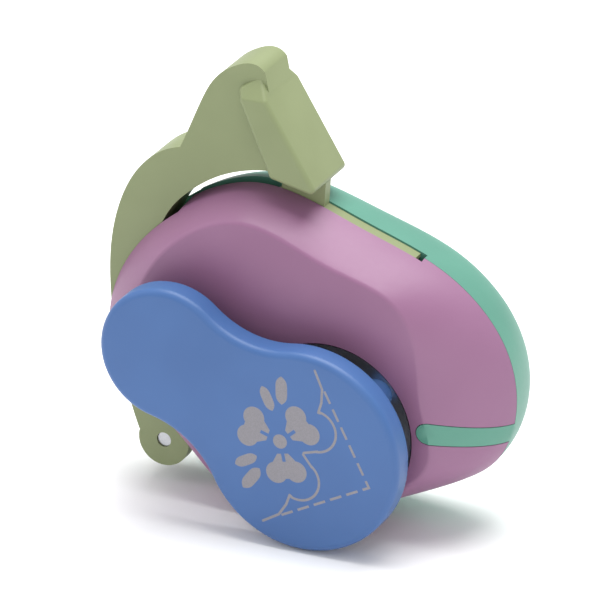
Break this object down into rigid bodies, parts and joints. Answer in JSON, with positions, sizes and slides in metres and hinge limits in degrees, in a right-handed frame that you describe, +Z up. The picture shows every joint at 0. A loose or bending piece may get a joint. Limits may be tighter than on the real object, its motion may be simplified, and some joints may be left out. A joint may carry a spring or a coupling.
{
  "type": "corner punch",
  "caption": "Hand-held decorative corner punch with a domed two-part body, a squeeze lever and a die plate across a paper gap.",
  "frame": {"origin": "middle of the bounding box, on the surface that the punch stands on", "axes": "+X along the body from the lever's hinge end to the slit end, -Y towards the die plate, +Z up to the thumb pad"},
  "size_m": [0.0878, 0.037, 0.0925],
  "materials": {
    "pink_plastic": "satin",
    "teal_plastic": "satin",
    "green_plastic": "satin",
    "blue_plastic": "satin",
    "grey_plastic": "matte",
    "tool_steel": "ground",
    "zinc_steel": "zinc plated",
    "spring_steel": "drawn wire"
  },
  "bodies": {
    "body": {"near_cover": "pink_plastic", "far_cover": "teal_plastic", "cover_screws": "zinc_steel", "chassis": "grey_plastic", "pivot_pin": "tool_steel", "stripper_plate": "tool_steel", "plate_screws": "zinc_steel", "guide_posts": "tool_steel", "return_springs": "spring_steel", "die_holder": "blue_plastic", "stop_screw": "zinc_steel", "die_plate": "tool_steel", "die_screws": "zinc_steel"},
    "lever": {"squeeze_lever": "green_plastic", "wedge": "tool_steel", "wedge_rivets": "zinc_steel"},
    "punch": {"punch_carrier": "tool_steel", "petal_cutters": "tool_steel", "leaf_cutters": "tool_steel", "dot_cutter": "tool_steel", "corner_cutter": "tool_steel"}
  },
  "joints": [
    {"name": "lever_hinge", "type": "hinge", "parent": "body", "child": "lever", "pos_m": [-0.03015, 0.0055, 0.0084], "axis": [0, -1, 0], "range_deg": [0, 15]},
    {"name": "punch_slide", "type": "slide", "parent": "body", "child": "punch", "axis": [0, 1, 0], "range_m": [0, 0.0061], "deforming": ["return_springs"]}
  ],
  "couplings": [
    {"joint": "punch_slide", "follows": "lever_hinge", "m_per_rad": 0.022918}
  ]
}
